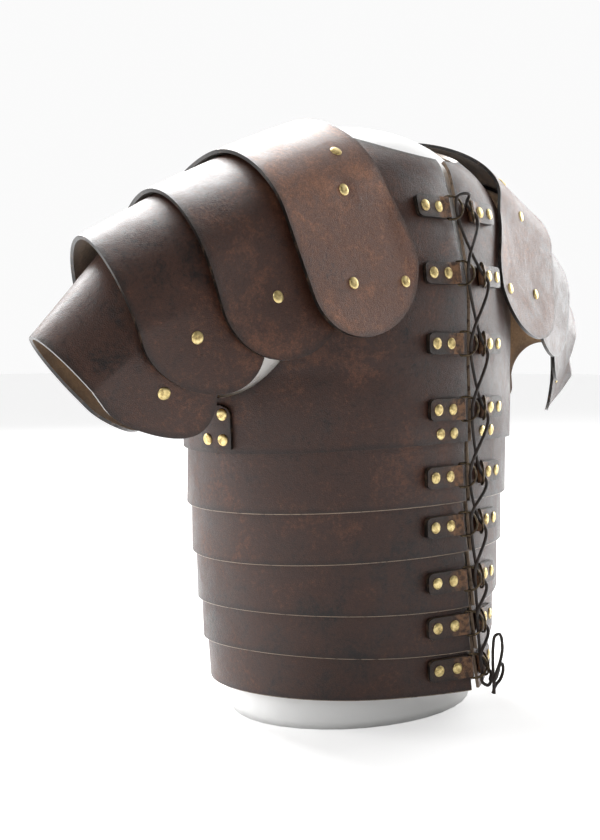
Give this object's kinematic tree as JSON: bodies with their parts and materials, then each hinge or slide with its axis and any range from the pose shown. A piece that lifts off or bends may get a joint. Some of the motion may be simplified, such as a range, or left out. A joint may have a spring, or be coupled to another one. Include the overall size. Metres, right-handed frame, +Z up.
{
  "type": "segmented leather armour on a limbless display form",
  "caption": "Leather torso armour of overlapping bands and shoulder plates, laced down the front through rings, worn by a smooth limbless display form.",
  "frame": {"origin": "middle of the form's flat base", "axes": "+Z up, -Y is the front, +X is the wearer's left"},
  "size_m": [0.7822, 0.3015, 0.5545],
  "materials": {
    "leather": "satin, antiqued dark red-brown",
    "shoulder_leather": "satin, antiqued mid brown",
    "ring_brass": "aged",
    "lace": "matt",
    "form": "matt"
  },
  "bodies": {
    "root": {"display_form": "form", "chest_left": "leather", "chest_right": "leather", "back_panel": "leather", "girdle_strip_1": "leather", "girdle_strip_2": "leather", "girdle_strip_3": "leather", "girdle_strip_4": "leather", "girdle_strip_5": "leather", "shoulder_plate_left_1": "shoulder_leather", "shoulder_plate_right_1": "shoulder_leather", "shoulder_plate_left_2": "shoulder_leather", "shoulder_plate_right_2": "shoulder_leather", "shoulder_plate_left_3": "shoulder_leather", "shoulder_plate_right_3": "shoulder_leather", "shoulder_plate_left_4": "shoulder_leather", "shoulder_plate_right_4": "shoulder_leather", "front_strap_left": "leather", "front_strap_right": "leather", "back_strap_left": "leather", "back_strap_right": "leather", "side_joiner_left": "leather", "side_joiner_right": "leather", "tab_left_1": "leather", "tab_right_1": "leather", "ring_left_1": "ring_brass", "ring_right_1": "ring_brass", "tab_left_2": "leather", "tab_right_2": "leather", "ring_left_2": "ring_brass", "ring_right_2": "ring_brass", "tab_left_3": "leather", "tab_right_3": "leather", "ring_left_3": "ring_brass", "ring_right_3": "ring_brass", "tab_left_4": "leather", "tab_right_4": "leather", "ring_left_4": "ring_brass", "ring_right_4": "ring_brass", "tab_left_5": "leather", "tab_right_5": "leather", "ring_left_5": "ring_brass", "ring_right_5": "ring_brass", "tab_left_6": "leather", "tab_right_6": "leather", "ring_left_6": "ring_brass", "ring_right_6": "ring_brass", "tab_left_7": "leather", "tab_right_7": "leather", "ring_left_7": "ring_brass", "ring_right_7": "ring_brass", "tab_left_8": "leather", "tab_right_8": "leather", "ring_left_8": "ring_brass", "ring_right_8": "ring_brass", "tab_left_9": "leather", "tab_right_9": "leather", "ring_left_9": "ring_brass", "ring_right_9": "ring_brass", "lace": "lace"}
  },
  "joints": []
}
